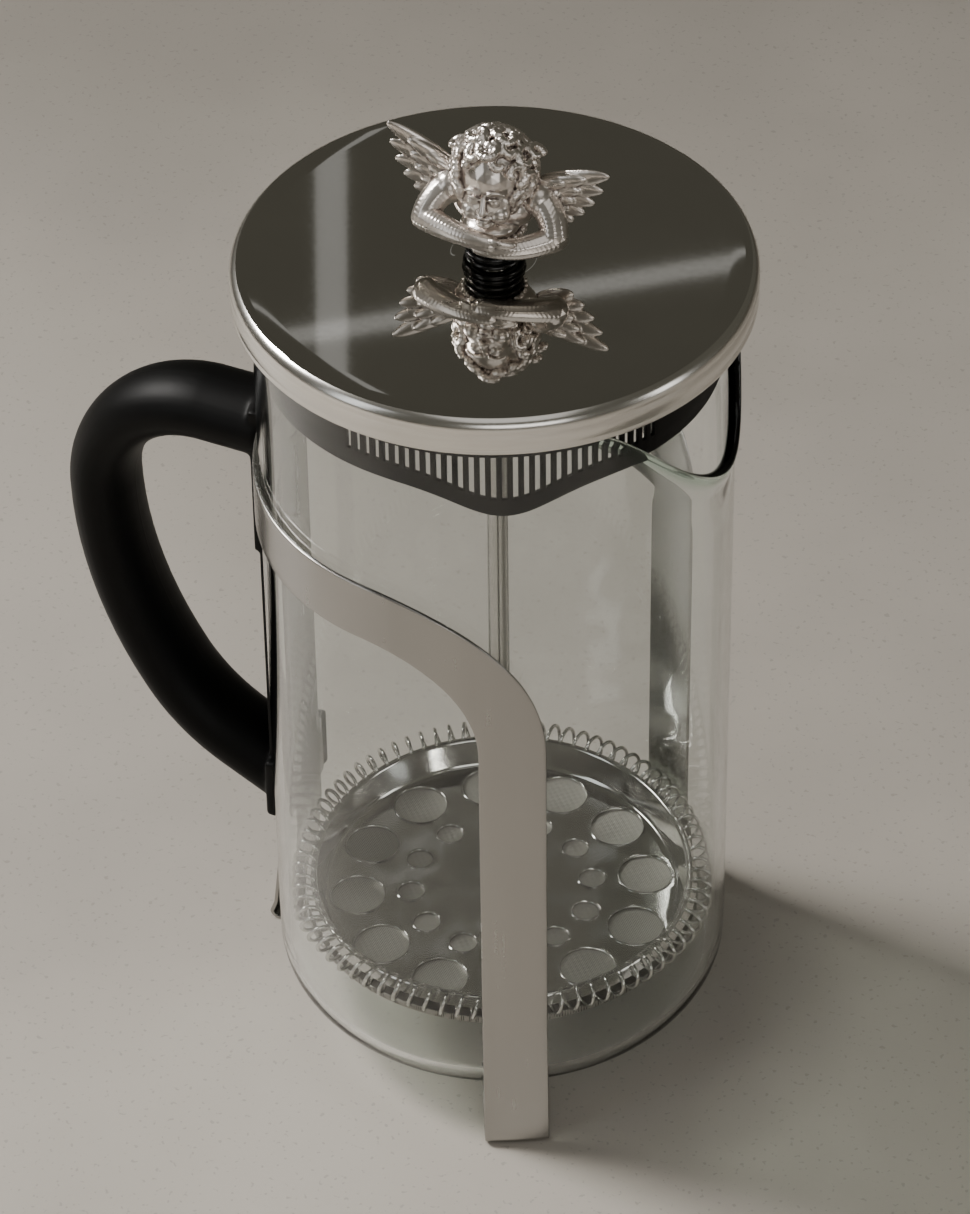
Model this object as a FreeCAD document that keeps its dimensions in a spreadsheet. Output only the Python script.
import FreeCAD, Part
import math
import os
import re
import Sketcher
from FreeCAD import Placement, Rotation, Vector

# Glass coffee press in a three-legged strip frame, with a screwed-on loop handle, a pressed
# lid with a slotted strainer, and a plunger with a coil-edged filter.
# Millimetres, +Z up. The press axis is vertical. The handle points along -X and the pouring
# lip along +X. The origin is under the middle of the whole press, on the surface it stands on.

SIZES = {
    # glass beaker
    "glass_radius": 48.0,
    "glass_wall": 2.0,
    "glass_floor": 2.6,
    "glass_corner": 9.0,
    "glass_height": 180.5,
    "lip_dip": 31.0,
    "lip_half_width": 31.0,
    "lip_reach": 3.0,
    "lip_root": 8.0,
    # strip frame
    "strip_gap": 0.3,
    "strip_thick": 0.9,
    "strip_width": 13.6,
    "band_bottom": 131.3,
    "bend_start": 69.5,
    "bend_inner": 25.0,
    "flare_top": 28.0,
    "foot_flare": 4.8,
    "foot_flat": 4.0,
    "ledge_top": 8.0,
    "ledge_length": 10.0,
    "ear_width": 1.3,
    "ear_bottom": 35.0,
    "ear_height": 15.0,
    "rivet_radius": 1.2,
    "rivet_spacing": 7.0,
    "rivet_offset": 4.9,
    "rivet_sink": 0.1,
    "rivet_length": 1.3,
    # handle
    "grip_width": 19.0,
    "grip_thick": 14.0,
    "grip_drop": 1.2,
    "grip_run": 14.8,
    "grip_bend_top": 27.0,
    "grip_bow": 90.0,
    "grip_bow_turn": 33.0,
    "grip_bend_low": 40.0,
    "grip_low_turn": 30.0,
    "spine_side": 1.0,
    "spine_thick": 2.4,
    "spine_bottom": 34.0,
    "root_thick": 5.6,
    "root_drop": 37.9,
    "hook_wall": 2.6,
    "hook_gap": 0.15,
    "seat_gap": 0.05,
    "screw_radius": 1.75,
    "screw_head_radius": 3.5,
    "screw_head_thick": 0.6,
    "screw_length": 17.0,
    "screw_room": 0.1,
    "insert_depth": 6.0,
    "insert_radius": 3.0,
    "insert_length": 9.0,
    # lid
    "lid_overhang": 4.0,
    "lid_sheet": 0.8,
    "lid_skirt": 8.4,
    "lid_round": 2.5,
    "lid_hem": 0.5,
    "lid_hem_height": 1.4,
    "rim_clearance": 0.4,
    "strainer_gap": 0.6,
    "strainer_wall": 1.6,
    "strainer_disc": 2.0,
    "strainer_flange": 2.8,
    "strainer_depth": 22.0,
    "lobe_depth": 5.4,
    "lobe_round": 45.0,
    "lobe_angle": 296.0,
    "slot_count": 31,
    "slot_pitch": 2.65,
    "slot_width": 1.0,
    "slot_top": 13.5,
    "slot_margin": 4.0,
    "bush_radius": 4.0,
    "bush_flange_radius": 7.0,
    "bush_flange_thick": 1.0,
    "lock_ring_radius": 6.0,
    "lock_ring_thick": 0.6,
    "lock_ring_groove": 0.4,
    "flange_gap": 0.3,
    "turn_gap": 0.05,
    # plunger
    "rod_radius": 2.2,
    "rod_fit": 0.05,
    "collar_radius": 5.75,
    "collar_groove": 0.6,
    "collar_height": 6.4,
    "collar_ridges": 3,
    "collar_lift": 0.3,
    "stud_radius": 3.2,
    "stud_length": 6.0,
    "figure_scale": 1.0,
    "figure_turn": 9.5,
    "plate_height": 25.0,
    "plate_sheet": 0.5,
    "plate_edge_gap": 0.42,
    "plate_rim_width": 2.6,
    "plate_dish": 2.8,
    "plate_rise": 7.8,
    "plate_drop": 2.0,
    "large_hole_place": 0.85,
    "large_hole_share": 0.16,
    "small_hole_place": 0.53,
    "small_hole_share": 0.076,
    "hole_count": 12,
    "coil_clearance": 0.35,
    "coil_wire": 0.33,
    "coil_loop": 2.5,
    "coil_turns": 80,
    "mesh_sheet": 0.3,
    "mesh_rise": 2.4,
    "cross_sheet": 0.8,
    "cross_inset": 1.0,
    "cross_hole_place": 0.6,
    "cross_hole_share": 0.25,
    "cross_hole_count": 6,
    "hub_radius": 6.2,
    "hub_height": 8.0,
    "hub_overlap": 1.15,
    "stop_nut_radius": 4.6,
    "stop_nut_height": 3.0,
}

# Sizes that follow from the ones above, written as expressions of them.
DERIVED = {
    "rim_height": "ledge_top + glass_height",
    "glass_bore": "glass_radius - glass_wall",
    "strip_inner": "glass_radius + strip_gap",
    "strip_outer": "strip_inner + strip_thick",
    "leg_outer": "strip_outer + strip_thick",
    "foot_reach": "strip_outer + foot_flare",
    "ledge_inner": "glass_radius - ledge_length",
    "bend_outer": "bend_inner + strip_width",
    "band_top": "band_bottom + strip_width",
    "bend_height": "band_bottom - bend_inner",
    "screw_height": "band_bottom + strip_width / 2",
    "grip_top": "screw_height - grip_drop",
    "grip_top_run": "strip_outer + grip_run",
    "spine_width": "strip_width + 2 * spine_side",
    "root_bottom": "grip_top - root_drop",
    "hook_side": "strip_width / 2 + ear_width + hook_wall",
    "insert_seat": "leg_outer + insert_depth",
    "lid_radius": "glass_radius + lid_overhang",
    "lid_underside": "rim_height + rim_clearance + strainer_flange + strainer_disc",
    "lid_top": "lid_underside + lid_sheet",
    "lid_bottom": "lid_top - lid_skirt",
    "lid_hole": "bush_radius + rod_fit",
    "strainer_outer": "glass_bore - strainer_gap",
    "strainer_inner": "strainer_outer - strainer_wall",
    "disc_top": "lid_underside - turn_gap",
    "disc_bottom": "lid_underside - strainer_disc",
    "skirt_bottom": "lid_top - strainer_depth",
    "lobe_bottom": "skirt_bottom - lobe_depth",
    "flange_radius": "lid_radius - lid_sheet - lid_hem - flange_gap",
    "coil_radius": "glass_bore - coil_clearance - coil_wire - coil_loop",
    "plate_edge_radius": "coil_radius - plate_edge_gap",
    "plate_rim_radius": "plate_edge_radius - plate_rim_width",
    "plate_flat_radius": "plate_rim_radius - plate_dish",
    "large_hole_circle": "plate_flat_radius * large_hole_place",
    "large_hole_radius": "plate_flat_radius * large_hole_share",
    "small_hole_circle": "plate_flat_radius * small_hole_place",
    "small_hole_radius": "plate_flat_radius * small_hole_share",
    "cross_radius": "plate_flat_radius - cross_inset",
    "cross_hole_circle": "cross_radius * cross_hole_place",
    "cross_hole_radius": "cross_radius * cross_hole_share",
    "screen_top": "plate_height - turn_gap",
    "cross_top": "screen_top - mesh_sheet",
    "cross_bottom": "cross_top - cross_sheet",
    "rod_bottom": "cross_bottom - hub_height + hub_overlap",
    "collar_bottom": "lid_top + collar_lift",
    "figure_base": "collar_bottom + collar_height",
    "handle_reach": "grip_top_run + grip_bend_top + grip_thick / 2",
    "axis_x": "(handle_reach - lid_radius) / 2",
}

doc = FreeCAD.newDocument("french_press")
sheet = doc.addObject("Spreadsheet::Sheet", "dims")
parts = []


def bound(text):
    """Return an expression with every size name turned into its cell of the sheet."""
    return re.sub(r"[a-z][a-z_0-9]*", lambda word: "dims." + word.group(0)
                  if word.group(0) in SIZES or word.group(0) in DERIVED else word.group(0), text)


def fill_sheet():
    """Write every driving size as a number and every derived size as a formula."""
    row = 0
    for name, value in SIZES.items():
        row += 1
        sheet.set("A%d" % row, name)
        sheet.set("B%d" % row, str(value))
        sheet.setAlias("B%d" % row, name)
    for name, formula in DERIVED.items():
        row += 1
        sheet.set("A%d" % row, name)
        sheet.set("B%d" % row, "=" + formula)
        sheet.setAlias("B%d" % row, name)
        doc.recompute()


def size(name):
    """Read one size from the sheet."""
    return float(sheet.get(name))


def bind(thing, **formulas):
    """Bind properties of a document object to sheet formulas; __ stands for a dot."""
    for name, formula in formulas.items():
        thing.setExpression(name.replace("__", "."), bound(formula))
    return thing


def shape_of(kind, name, **formulas):
    """Add a Part primitive whose sizes and place are sheet formulas."""
    return bind(doc.addObject("Part::" + kind, name), **formulas)


def joined(name, *things):
    """Fuse document objects."""
    fused = doc.addObject("Part::MultiFuse", name)
    fused.Shapes = list(things)
    return fused


def without(name, base, tool):
    """Cut one document object from another."""
    cut = doc.addObject("Part::Cut", name)
    cut.Base = base
    cut.Tool = tool
    return cut


def shared(name, base, tool):
    """Keep what two document objects have in common."""
    common = doc.addObject("Part::Common", name)
    common.Base = base
    common.Tool = tool
    return common


def fixed_shape(name, solid):
    """Add a shape worked out from the sheet by this script."""
    thing = doc.addObject("Part::Feature", name)
    thing.Shape = solid
    return thing


def sub_part(thing, label):
    """Name a finished piece and stand it on the press axis."""
    thing.Label = label
    bind(thing, Placement__Base__x="axis_x")
    parts.append(thing)
    return thing


def turned(name, corners):
    """Turn a closed outline of (radius, height) formulas about Z, as a PartDesign body."""
    body = doc.addObject("PartDesign::Body", name)
    plane = [p for p in body.Origin.OriginFeatures if p.Role == "XZ_Plane"][0]
    sketch = body.newObject("Sketcher::SketchObject", name + "_outline")
    sketch.AttachmentSupport = [(plane, "")]
    sketch.MapMode = "FlatFace"
    count = len(corners)
    turn = 2 * math.pi / count
    seeds = [Vector(20 + 10 * math.cos(turn * i), 20 + 10 * math.sin(turn * i), 0) for i in range(count)]
    for i in range(count):
        sketch.addGeometry(Part.LineSegment(seeds[i], seeds[(i + 1) % count]))
    for i in range(count):
        sketch.addConstraint(Sketcher.Constraint("Coincident", i, 2, (i + 1) % count, 1))
    for i, (radius, height) in enumerate(corners):
        for kind, seed, formula in (("DistanceX", seeds[i].x, radius), ("DistanceY", seeds[i].y, height)):
            index = sketch.addConstraint(Sketcher.Constraint(kind, -1, 1, i, 1, seed))
            sketch.setExpression("Constraints[%d]" % index, bound(formula))
    turning = body.newObject("PartDesign::Revolution", name + "_turning")
    turning.Profile = (sketch, [""])
    turning.ReferenceAxis = (sketch, ["V_Axis"])
    turning.Angle = 360
    doc.recompute()
    return body


def rounded(body, name, radius, height, fillet):
    """Round the circular edge of a turned body that lies at a radius and a height."""
    base = body.Tip
    found = []
    for index, edge in enumerate(base.Shape.Edges):
        if isinstance(edge.Curve, Part.Circle) and abs(edge.Curve.Radius - radius) < 1e-4 \
                and abs(edge.Curve.Center.z - height) < 1e-4:
            found.append("Edge%d" % (index + 1))
    feature = body.newObject("PartDesign::Fillet", name)
    feature.Base = (base, found)
    bind(feature, Radius=fillet)
    body.Tip = feature
    doc.recompute()


def radial_hole(name, radius, start, length, height, offset="0"):
    """A cylinder that points along -X from the press axis, for holes and screws."""
    rod = shape_of("Cylinder", name, Radius=radius, Height=length)
    rod.Placement.Rotation = Rotation(Vector(0, 1, 0), -90)
    return bind(rod, Placement__Base__x="-(" + start + ")", Placement__Base__y=offset,
                Placement__Base__z=height)


def ring_of_holes(name, count, circle, radius, bottom, height):
    """Vertical cylinders spaced evenly on a circle about the press axis."""
    holes = []
    for i in range(int(size(count))):
        angle = "(360 / " + count + " * " + str(i) + ")"
        holes.append(shape_of("Cylinder", "%s_%d" % (name, i), Radius=radius, Height=height,
                              Placement__Base__x=circle + " * cos" + angle,
                              Placement__Base__y=circle + " * sin" + angle,
                              Placement__Base__z=bottom))
    return joined(name, *holes)


# ---------------------------------------------------------------- glass beaker

def make_beaker():
    """The blown beaker: straight wall, rounded bottom, and a dipped pouring lip."""
    outer = turned("glass_outer", [("0", "ledge_top"), ("glass_radius", "ledge_top"),
                                   ("glass_radius", "rim_height"), ("0", "rim_height")])
    rounded(outer, "glass_outer_corner", size("glass_radius"), size("ledge_top"), "glass_corner")
    floor = "ledge_top + glass_floor"
    inner = turned("glass_inner", [("0", floor), ("glass_bore", floor),
                                   ("glass_bore", "rim_height + 1"), ("0", "rim_height + 1")])
    rounded(inner, "glass_inner_corner", size("glass_bore"), size("ledge_top") + size("glass_floor"),
            "glass_corner - glass_wall")
    bulge_depth = "(lip_reach + lip_root)"
    bulge = []
    for name, wall in (("lip_bulge_outer", "0"), ("lip_bulge_inner", "glass_wall")):
        bulge.append(shape_of(
            "Ellipsoid", name, Radius1="lip_dip + 1 - " + wall, Radius2=bulge_depth + " - " + wall,
            Radius3="lip_half_width + 1 - " + wall,
            Placement__Base__x="glass_radius - lip_root",
            Placement__Base__z="rim_height - lip_dip / 2"))
    body = joined("glass_solid", outer, bulge[0])
    hollow = joined("glass_hollow", inner, bulge[1])
    shell = without("glass_shell", body, hollow)
    above = shape_of("Box", "above_rim", Length="4 * glass_radius", Width="4 * glass_radius",
                     Height="lip_dip * 2",
                     Placement__Base__x="-2 * glass_radius", Placement__Base__y="-2 * glass_radius",
                     Placement__Base__z="rim_height")
    round_radius = "(lip_half_width ^ 2 + lip_dip ^ 2) / (2 * lip_dip)"
    notch = shape_of("Cylinder", "lip_notch", Radius=round_radius, Height="2 * glass_radius")
    notch.Placement.Rotation = Rotation(Vector(0, 1, 0), 90)
    bind(notch, Placement__Base__x="glass_radius / 2",
         Placement__Base__z="rim_height - lip_dip + " + round_radius)
    sub_part(without("beaker", shell, joined("rim_cutters", above, notch)), "glass_beaker")


# ---------------------------------------------------------------- strip frame

def foot_outline(inner):
    """(radius, height) corners of a leg strip from its top down to the ledge under the glass.

    The strip runs straight down, flares out to the foot, lies flat on the surface and rises
    again to the ledge that carries the glass.
    """
    thick = "strip_thick"
    reach = "foot_reach"
    heel = "(foot_reach - foot_flat)"
    return [(inner + " + " + thick, "TOP"), (inner, "TOP"), (inner, "flare_top"),
            (reach + " - 1.3 * " + thick, "1.6 * " + thick), (reach + " - 2 * " + thick, thick),
            (heel, thick), (heel + " - 2.2", "ledge_top"), ("ledge_inner", "ledge_top"),
            ("ledge_inner", "ledge_top - " + thick), (heel + " - 2.9", "ledge_top - " + thick),
            (heel + " - 0.8", "0"), (reach + " - 1.1 * " + thick, "0"),
            (reach + " - 0.3 * " + thick, "0.5 * " + thick), (reach, "1.4 * " + thick),
            (inner + " + " + thick, "flare_top")]


def leg_blank(name, inner, top):
    """A leg strip with its foot, of constant width, standing along +X from the press axis."""
    corners = [(radius, height.replace("TOP", top)) for radius, height in foot_outline(inner)]
    ring = turned(name + "_ring", corners)
    slab = shape_of("Box", name + "_slab", Length="2 * foot_reach", Width="strip_width", Height="2 * band_top",
                    Placement__Base__x="ledge_inner / 2", Placement__Base__y="-strip_width / 2",
                    Placement__Base__z="-1")
    return shared(name, ring, slab)


def tube(outer, inner, bottom, top, start, end):
    """A sector of a tube between two angles in degrees."""
    solid = Part.makeCylinder(outer, top - bottom, Vector(0, 0, bottom), Vector(0, 0, 1), end - start)
    bore = Part.makeCylinder(inner, top - bottom + 2, Vector(0, 0, bottom - 1))
    solid.rotate(Vector(), Vector(0, 0, 1), start)
    return solid.cut(bore)


def bend_prism(radius, strip_outer):
    """An elliptic prism along +X that wraps to a circle of this radius on the strip's tube."""
    across = strip_outer * math.sin(radius / strip_outer)
    curve = Part.Ellipse(Vector(0, 0, size("bend_height") + radius), Vector(0, across, size("bend_height")),
                         Vector(0, 0, size("bend_height")))
    return Part.Face(Part.Wire(curve.toShape())).extrude(Vector(2 * strip_outer, 0, 0))


def make_side_strips():
    """The two mirrored strips: half the band, a concentric bend, and a leg with its foot."""
    inner = size("strip_inner")
    outer = size("strip_outer")
    low = size("band_bottom")
    high = size("band_top")
    turn_angle = math.degrees(size("bend_start") / outer)
    leg_centre = math.degrees((size("bend_inner") + size("strip_width") / 2) / outer)
    half = math.degrees(size("strip_width") / 2 / outer)
    band = tube(outer, inner, low, high, -turn_angle, 0)
    quarter = tube(outer, inner, size("bend_height"), high + 1, 0, 80)
    bend = quarter.common(bend_prism(size("bend_outer"), outer).cut(bend_prism(size("bend_inner"), outer)))
    upper_leg = tube(outer, inner, size("flare_top") + 1, size("bend_height"), leg_centre - half,
                     leg_centre + half)
    strip = band.fuse([bend, upper_leg]).removeSplitter()
    strip.rotate(Vector(), Vector(0, 0, 1), turn_angle)
    upper = fixed_shape("strip_upper", strip)
    leg = leg_blank("side_leg", "strip_inner", "flare_top + 1")
    bind(leg, Placement__Rotation__Angle="(bend_start + bend_inner + strip_width / 2) / strip_outer * 180 / pi")
    whole = joined("side_strip", upper, leg)
    whole.Refine = True
    holes = [radial_hole("head_notch", "screw_head_radius + 0.2", "strip_inner - 2", "6", "screw_height")]
    for side in (-1, 1):
        for level in (-1, 1):
            holes.append(rivet("band_rivet_hole_%d_%d" % (side, level), side, level))
    tool = joined("band_holes", *holes)
    tool.Placement.Rotation = Rotation(Vector(0, 0, 1), 180)
    cut = without("side_strip_cut", whole, tool)
    cut.Placement.Rotation = Rotation(Vector(0, 0, 1), 180)
    right = sub_part(cut, "frame_strip_right")
    left = doc.addObject("Part::Mirroring", "side_strip_mirror")
    left.Source = right
    left.Normal = Vector(0, 1, 0)
    left.Label = "frame_strip_left"
    parts.append(left)


def rivet(name, side, level):
    """One rivet body through the band and into the rear leg, sunk below both faces."""
    return radial_hole(name, "rivet_radius", "strip_inner + rivet_sink", "rivet_length",
                       "screw_height + %d * rivet_spacing / 2" % level,
                       "%d * rivet_offset" % side)


def make_rear_leg():
    """The straight leg behind the handle, with the two ears that the grip hooks round."""
    blank = leg_blank("rear_leg_blank", "strip_outer", "band_top")
    blank.Placement.Rotation = Rotation(Vector(0, 0, 1), 180)
    ring = turned("ear_ring", [("strip_outer", "ear_bottom"), ("leg_outer", "ear_bottom"),
                               ("leg_outer", "ear_bottom + ear_height"),
                               ("strip_outer", "ear_bottom + ear_height")])
    slab = shape_of("Box", "ear_slab", Length="foot_reach", Width="strip_width + 2 * ear_width",
                    Height="2 * band_top", Placement__Base__x="-foot_reach - 10",
                    Placement__Base__y="-strip_width / 2 - ear_width")
    whole = joined("rear_leg_whole", blank, shared("ears", ring, slab))
    whole.Refine = True
    holes = [radial_hole("leg_screw_hole", "screw_radius + screw_room", "strip_inner", "6", "screw_height")]
    for side in (-1, 1):
        for level in (-1, 1):
            holes.append(rivet("leg_rivet_hole_%d_%d" % (side, level), side, level))
    sub_part(without("rear_leg_cut", whole, joined("leg_holes", *holes)), "rear_leg")


def make_rivets():
    """Four flush rivets that join the two band ends to the rear leg."""
    rivets = []
    for side in (-1, 1):
        for level in (-1, 1):
            rivets.append(rivet("rivet_%d_%d" % (side, level), side, level))
    group = doc.addObject("Part::Compound", "rivets")
    group.Links = rivets
    sub_part(group, "frame_rivets")


# ---------------------------------------------------------------- handle

def grip_path():
    """The middle line of the grip in the XZ plane: runs and arcs that meet tangentially."""
    start = Vector(-size("strip_outer"), 0, size("grip_top"))
    at = Vector(-size("grip_top_run"), 0, size("grip_top"))
    edges = [Part.LineSegment(start, at).toShape()]
    heading = Vector(-1, 0, 0)
    turns = ((size("grip_bend_top"), 90.0), (size("grip_bow"), size("grip_bow_turn")),
             (size("grip_bend_low"), size("grip_low_turn")))
    for radius, turn in turns:
        spin = Rotation(Vector(0, 1, 0), -turn)
        half = Rotation(Vector(0, 1, 0), -turn / 2)
        to_centre = Rotation(Vector(0, 1, 0), -90).multVec(heading) * radius
        centre = at + to_centre
        middle = centre + half.multVec(to_centre * -1)
        end = centre + spin.multVec(to_centre * -1)
        edges.append(Part.Arc(at, middle, end).toShape())
        heading = spin.multVec(heading)
        at = end
    run = (-size("strip_outer") - at.x) / heading.x
    edges.append(Part.LineSegment(at, at + heading * run).toShape())
    return Part.Wire(edges)


def make_grip():
    """The moulded grip: a swept loop, a spine along the rear leg, and hooks round its ears."""
    path = grip_path()
    section = Part.Ellipse(Vector(0, 0, 0), size("grip_width") / 2, size("grip_thick") / 2)
    ring = Part.Wire(section.toShape())
    ring.Placement = Placement(Vector(-size("strip_outer"), 0, size("grip_top")),
                               Rotation(Vector(0, 1, 0), Vector(0, 0, 1), Vector(1, 0, 0), "XYZ"))
    loop = fixed_shape("grip_loop", path.makePipeShell([ring], True, False))
    spine = shape_of("Box", "grip_spine", Length="spine_thick + 4", Width="spine_width",
                     Height="root_bottom - spine_bottom + 2", Placement__Base__x="-leg_outer - spine_thick",
                     Placement__Base__y="-spine_width / 2", Placement__Base__z="spine_bottom")
    root = shape_of("Box", "grip_root", Length="root_thick + 4", Width="spine_width",
                    Height="grip_top + grip_thick / 2 - root_bottom",
                    Placement__Base__x="-leg_outer - root_thick", Placement__Base__y="-spine_width / 2",
                    Placement__Base__z="root_bottom")
    hooks_ring = turned("hook_ring", [("strip_inner + hook_gap", "ear_bottom"),
                                      ("leg_outer + spine_thick", "ear_bottom"),
                                      ("leg_outer + spine_thick", "ear_bottom + ear_height"),
                                      ("strip_inner + hook_gap", "ear_bottom + ear_height")])
    hooks_slab = shape_of("Box", "hook_slab", Length="foot_reach", Width="2 * hook_side",
                          Height="2 * band_top", Placement__Base__x="-foot_reach - 10",
                          Placement__Base__y="-hook_side")
    hooks = shared("grip_hooks", hooks_ring, hooks_slab)
    tube_ring = turned("leg_room_ring", [("strip_inner - 4", "0"), ("leg_outer + seat_gap", "0"),
                                         ("leg_outer + seat_gap", "band_top + 10"),
                                         ("strip_inner - 4", "band_top + 10")])
    ear_ring = turned("ear_room_ring", [("strip_outer - seat_gap", "0"), ("leg_outer + seat_gap", "0"),
                                        ("leg_outer + seat_gap", "band_top"),
                                        ("strip_outer - seat_gap", "band_top")])
    ear_slab = shape_of("Box", "ear_room_slab", Length="foot_reach",
                        Width="strip_width + 2 * ear_width + 2 * seat_gap", Height="2 * band_top",
                        Placement__Base__x="-foot_reach - 10",
                        Placement__Base__y="-strip_width / 2 - ear_width - seat_gap")
    lip_slab = shape_of("Box", "hook_mouth", Length="foot_reach", Width="strip_width + 1",
                        Height="2 * band_top", Placement__Base__x="-foot_reach - 10",
                        Placement__Base__y="-strip_width / 2 - 0.5")
    mouth = shared("hook_mouth_room", tube_ring, lip_slab)
    ear_room = shared("ear_room", ear_ring, ear_slab)
    blank = without("grip_blank", joined("grip_loop_and_spine", loop, spine, root), tube_ring)
    hooked = without("hooks_cut", hooks, joined("hook_room", mouth, ear_room))
    bores = joined("grip_bores",
                   radial_hole("grip_screw_bore", "screw_radius + screw_room", "strip_outer", "screw_length + 1",
                               "screw_height"),
                   radial_hole("grip_insert_bore", "insert_radius", "insert_seat", "insert_length + 1",
                               "screw_height"))
    sub_part(without("grip", joined("grip_with_hooks", blank, hooked), bores), "handle_grip")


def make_handle_fasteners():
    """The handle screw, its head inside the band, and the threaded insert in the grip."""
    seat = "sqrt(strip_outer ^ 2 - screw_head_radius ^ 2) - 0.02"
    head = radial_hole("screw_head", "screw_head_radius", seat + " - screw_head_thick",
                       "screw_head_thick", "screw_height")
    shank = radial_hole("screw_shank", "screw_radius", seat, "screw_length", "screw_height")
    sub_part(joined("screw", head, shank), "handle_screw")
    sleeve = without("insert_sleeve",
                     radial_hole("insert_outer", "insert_radius", "insert_seat", "insert_length",
                                 "screw_height"),
                     radial_hole("insert_bore", "screw_radius", "insert_seat - 1", "insert_length + 2",
                                 "screw_height"))
    sub_part(sleeve, "handle_insert")


# ---------------------------------------------------------------- lid

def make_lid_cover():
    """The pressed cap with a rounded edge and a short hemmed skirt."""
    sheet_inner = "lid_radius - lid_sheet"
    hem = "lid_radius - lid_sheet - lid_hem"
    cover = turned("cover", [("lid_hole", "lid_underside"), (sheet_inner, "lid_underside"),
                             (sheet_inner, "lid_bottom + lid_hem_height"),
                             (hem, "lid_bottom + lid_hem_height"), (hem, "lid_bottom"),
                             ("lid_radius", "lid_bottom"), ("lid_radius", "lid_top"),
                             ("lid_hole", "lid_top")])
    rounded(cover, "cover_edge", size("lid_radius"), size("lid_top"), "lid_round")
    rounded(cover, "cover_inside_edge", size("lid_radius") - size("lid_sheet"), size("lid_underside"),
            "lid_round - lid_sheet")
    sub_part(cover, "lid_cover")


def make_strainer():
    """The moulded insert: a disc under the cap and a skirt with two deeper slotted lobes."""
    flange = "flange_radius"
    flange_bottom = "rim_height + rim_clearance"
    ring_room = "lock_ring_radius + 0.3"
    ring_floor = "disc_top - lock_ring_thick - 0.2"
    blank = turned("strainer_blank", [
        ("lid_hole", "disc_bottom"), ("strainer_inner", "disc_bottom"),
        ("strainer_inner", "skirt_bottom"), ("strainer_outer", "skirt_bottom"),
        ("strainer_outer", flange_bottom), (flange, flange_bottom), (flange, "disc_top - 2"),
        (flange + " - 2", "disc_top"), (ring_room, "disc_top"), (ring_room, ring_floor),
        ("lid_hole", ring_floor)])
    lobe_ring = turned("lobe_ring", [("strainer_inner", "lobe_bottom"), ("strainer_outer", "lobe_bottom"),
                                     ("strainer_outer", "skirt_bottom + 1"),
                                     ("strainer_inner", "skirt_bottom + 1")])
    drum = shape_of("Cylinder", "lobe_drum", Radius="lobe_round", Height="4 * glass_radius")
    drum.Placement.Rotation = Rotation(Vector(0, 1, 0), 90)
    bind(drum, Placement__Base__x="-2 * glass_radius", Placement__Base__z="lobe_bottom + lobe_round")
    lobes = shared("lobes", lobe_ring, drum)
    whole = joined("strainer_whole", blank, lobes)
    whole.Refine = True
    slots = fixed_shape("strainer_slots", slot_cutters())
    cut = without("strainer_cut", whole, slots)
    bind(cut, Placement__Rotation__Angle="lobe_angle")
    sub_part(cut, "lid_strainer")


def slot_cutters():
    """Upright boxes across the skirt, each cutting one slot in the front and the back lobe."""
    length = 2 * size("strainer_outer") + 4
    width = size("slot_width")
    top = size("lid_top") - size("slot_top")
    drum = size("lobe_round")
    boxes = []
    for i in range(int(size("slot_count"))):
        angle = (i - (size("slot_count") - 1) / 2) * size("slot_pitch")
        aside = size("strainer_outer") * math.sin(math.radians(angle))
        wave = size("lobe_bottom") + drum - math.sqrt(drum ** 2 - aside ** 2)
        bottom = min(wave, size("skirt_bottom")) + size("slot_margin")
        box = Part.makeBox(length, width, top - bottom, Vector(-length / 2, -width / 2, bottom))
        box.rotate(Vector(), Vector(0, 0, 1), angle)
        boxes.append(box)
    return boxes[0].fuse(boxes[1:])


def make_bush():
    """The guide that the rod slides in, held under the cap by a lock ring in its groove."""
    groove_top = "disc_top - turn_gap"
    groove_bottom = "disc_top - turn_gap - lock_ring_thick"
    groove = "bush_radius - lock_ring_groove"
    flange_top = "disc_bottom - turn_gap"
    bore = "rod_radius + rod_fit"
    bush = turned("bush", [(bore, flange_top + " - bush_flange_thick"),
                           ("bush_flange_radius", flange_top + " - bush_flange_thick"),
                           ("bush_flange_radius", flange_top), ("bush_radius", flange_top),
                           ("bush_radius", groove_bottom), (groove, groove_bottom), (groove, groove_top),
                           ("bush_radius", groove_top), ("bush_radius", "lid_top"), (bore, "lid_top")])
    sub_part(bush, "lid_bush")
    ring = turned("lock_ring", [(groove, groove_bottom), ("lock_ring_radius", groove_bottom),
                                ("lock_ring_radius", groove_top), (groove, groove_top)])
    sub_part(ring, "lid_lock_ring")


# ---------------------------------------------------------------- plunger

def make_rod():
    """The plain rod from the hub nut up into the knob."""
    rod = shape_of("Cylinder", "rod", Radius="rod_radius",
                   Height="figure_base + stud_length - rod_bottom", Placement__Base__z="rod_bottom")
    sub_part(rod, "plunger_rod")


def make_knob_collar():
    """The ribbed ring between the lid and the figure."""
    ridges = int(size("collar_ridges"))
    step = "collar_height / %d" % (2 * ridges + 1)
    outline = [("rod_radius", "collar_bottom")]
    for i in range(2 * ridges + 1):
        radius = "collar_radius" if i % 2 == 0 else "collar_radius - collar_groove"
        outline.append((radius, "collar_bottom + %d * %s" % (i, step)))
        outline.append((radius, "collar_bottom + %d * %s" % (i + 1, step)))
    outline.append(("rod_radius", "figure_base"))
    sub_part(turned("collar", outline), "knob_collar")


def make_knob_stud():
    """The threaded insert in the foot of the figure, screwed on the rod."""
    stud = turned("stud", [("rod_radius", "figure_base"), ("stud_radius", "figure_base"),
                           ("stud_radius", "figure_base + stud_length"),
                           ("rod_radius", "figure_base + stud_length")])
    sub_part(stud, "knob_stud")


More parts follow.
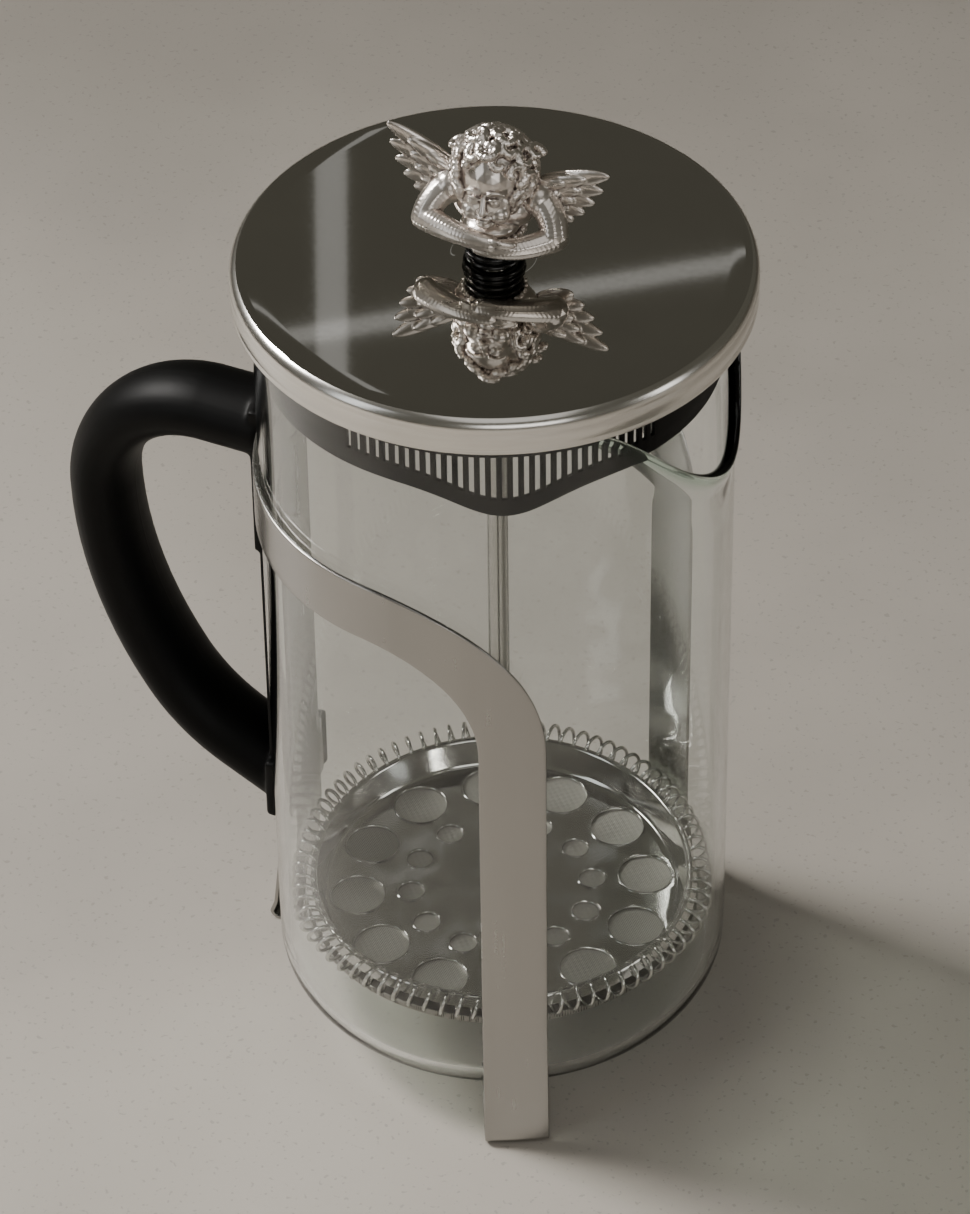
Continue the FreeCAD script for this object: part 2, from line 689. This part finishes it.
def blob(x, y, z, rx, ry, rz):
    """An ellipsoid of the figure, in the figure's own frame, facing -Y."""
    ball = Part.makeSphere(1.0)
    ball = ball.transformGeometry(FreeCAD.Matrix(rx, 0, 0, x, 0, ry, 0, y, 0, 0, rz, z, 0, 0, 0, 1))
    return ball


def wing(side):
    """One feathered wing as a thick plate with stepped feather tips."""
    outline = [(5.0, 6.5), (9.0, 5.2), (14.0, 6.8), (15.0, 8.6), (18.5, 9.0), (18.8, 11.0),
               (21.6, 12.0), (20.4, 15.6), (15.5, 14.6), (10.0, 12.6), (5.0, 11.5)]
    points = [Vector(side * x, 0, z) for x, z in outline]
    plate = Part.Face(Part.makePolygon(points + points[:1])).extrude(Vector(0, 2.2, 0))
    plate.translate(Vector(0, 2.6, 0))
    plate.rotate(Vector(side * 5, 3.7, 0), Vector(0, 0, 1), side * 14)
    return plate


def make_figure():
    """The cast knob: a winged child leaning on folded arms, in plain rounded masses."""
    masses = [blob(0, 1.0, 4.2, 8.6, 5.4, 4.4), blob(0, 1.8, 7.0, 9.6, 4.2, 3.8),
              blob(0, -3.4, 2.5, 12.0, 3.2, 2.6), blob(0, -4.6, 10.6, 5.8, 5.2, 6.6),
              blob(0, -1.0, 13.6, 8.8, 8.0, 8.4)]
    for side in (-1, 1):
        masses.append(blob(side * 11.4, -1.6, 2.7, 3.2, 3.2, 2.8))
        masses.append(blob(side * 9.8, 0.6, 5.6, 2.8, 2.8, 3.6))
        masses.append(wing(side))
        masses.append(blob(side * 4.6, 0.4, 20.8, 2.6, 2.4, 4.2))
    masses.append(Part.makeCylinder(5.4, 3.0))
    figure = masses[0].fuse(masses[1:])
    floor = Part.makeBox(60, 60, 10, Vector(-30, -30, -10))
    figure = figure.cut(floor)
    scale = size("figure_scale")
    figure = figure.transformGeometry(FreeCAD.Matrix(scale, 0, 0, 0, 0, scale, 0, 0, 0, 0, scale, 0, 0, 0, 0, 1))
    figure = figure.cut(Part.makeCylinder(size("stud_radius"), size("stud_length")))
    knob = fixed_shape("figure", figure)
    bind(knob, Placement__Base__z="figure_base", Placement__Rotation__Angle="figure_turn")
    sub_part(knob, "knob_figure")


def make_spring_plate():
    """The dished plate with two rings of holes and a turned-down rim inside the coil."""
    top = "plate_height + plate_rise"
    t = "plate_sheet"
    blank = turned("plate_blank", [
        ("rod_radius", "plate_height"), ("plate_flat_radius", "plate_height"),
        ("plate_rim_radius", top + " - " + t), ("plate_edge_radius", top + " - plate_drop - " + t),
        ("plate_edge_radius", top + " - plate_drop"), ("plate_rim_radius", top),
        ("plate_flat_radius - " + t, "plate_height + " + t), ("rod_radius", "plate_height + " + t)])
    below = "plate_height - 1"
    holes = joined("plate_holes",
                   ring_of_holes("large_holes", "hole_count", "large_hole_circle", "large_hole_radius",
                                 below, "3"),
                   ring_of_holes("small_holes", "hole_count", "small_hole_circle", "small_hole_radius",
                                 below, "3"))
    sub_part(without("plate", blank, holes), "spring_plate")


def make_coil():
    """The spring round the plate: one ring of wire for each turn, leaned along the circle."""
    wire = size("coil_wire")
    loop = size("coil_loop")
    radius = size("coil_radius")
    centre = size("plate_height") + size("plate_rise") - size("plate_drop")
    turns = []
    count = int(size("coil_turns"))
    lean = math.degrees(math.atan(math.pi * radius / count / (2 * loop)))
    across = Vector(0, 1, 0)
    for i in range(count):
        ring = Part.makeCylinder(loop + wire, 2 * wire, Vector(0, -wire, 0), across)
        ring = ring.cut(Part.makeCylinder(loop - wire, 4 * wire, Vector(0, -2 * wire, 0), across))
        ring.rotate(Vector(), Vector(1, 0, 0), lean)
        ring.translate(Vector(radius, 0, centre))
        ring.rotate(Vector(), Vector(0, 0, 1), 360.0 * i / count)
        turns.append(ring)
    sub_part(fixed_shape("coil", Part.makeCompound(turns)), "coil_spring")


def make_screen_stack():
    """The mesh screen, the cross plate under it and the nut that clamps the stack."""
    mesh_top = "screen_top"
    mesh_low = "cross_top"
    edge = "plate_edge_radius"
    screen = turned("screen", [
        ("rod_radius", mesh_low), ("plate_flat_radius + 0.6", mesh_low),
        (edge, mesh_low + " + mesh_rise"), (edge, mesh_top + " + mesh_rise"),
        ("plate_flat_radius + 0.4", mesh_top), ("rod_radius", mesh_top)])
    sub_part(screen, "mesh_screen")
    blank = turned("cross_blank", [
        ("rod_radius", "cross_bottom"), ("cross_radius", "cross_bottom"),
        ("cross_radius", "cross_top"), ("rod_radius", "cross_top")])
    holes = ring_of_holes("cross_holes", "cross_hole_count", "cross_hole_circle", "cross_hole_radius",
                          "cross_bottom - 1", "cross_sheet + 2")
    sub_part(without("cross", blank, holes), "cross_plate")
    hub = shape_of("Prism", "hub", Circumradius="hub_radius", Height="hub_height",
                   Placement__Base__z="cross_bottom - hub_height")
    hub_bore = shape_of("Cylinder", "hub_bore", Radius="rod_radius", Height="hub_height + 2",
                        Placement__Base__z="cross_bottom - hub_height - 1")
    sub_part(without("hub_cut", hub, hub_bore), "hub_nut")
    nut = shape_of("Prism", "stop_nut", Circumradius="stop_nut_radius", Height="stop_nut_height",
                   Placement__Base__z="plate_height + plate_sheet")
    nut_bore = shape_of("Cylinder", "stop_nut_bore", Radius="rod_radius", Height="stop_nut_height + 2",
                        Placement__Base__z="plate_height + plate_sheet - 1")
    sub_part(without("stop_nut_cut", nut, nut_bore), "rod_stop_nut")


def check_document():
    """Stop if any object failed or any sub-part has no valid solid."""
    for thing in doc.Objects:
        if "Invalid" in thing.State or "Error" in thing.State:
            raise RuntimeError("%s is in state %s" % (thing.Name, thing.State))
    for thing in parts:
        if thing.Shape.isNull() or not thing.Shape.isValid() or not thing.Shape.Solids:
            raise RuntimeError("%s has no valid solid" % thing.Label)


fill_sheet()
make_beaker()
make_side_strips()
make_rear_leg()
make_rivets()
make_grip()
make_handle_fasteners()
make_lid_cover()
make_strainer()
make_bush()
make_rod()
make_knob_collar()
make_knob_stud()
make_figure()
make_spring_plate()
make_coil()
make_screen_stack()
doc.recompute()
check_document()

os.makedirs("parts", exist_ok=True)
for part in parts:
    part.Shape.exportStep("parts/%s.step" % part.Label)
    box = part.Shape.BoundBox
    print("%-18s %2d solid(s) %9.1f mm3  x %7.1f..%6.1f  y %6.1f..%5.1f  z %6.1f..%6.1f" % (
        part.Label, len(part.Shape.Solids), part.Shape.Volume, box.XMin, box.XMax, box.YMin, box.YMax,
        box.ZMin, box.ZMax))
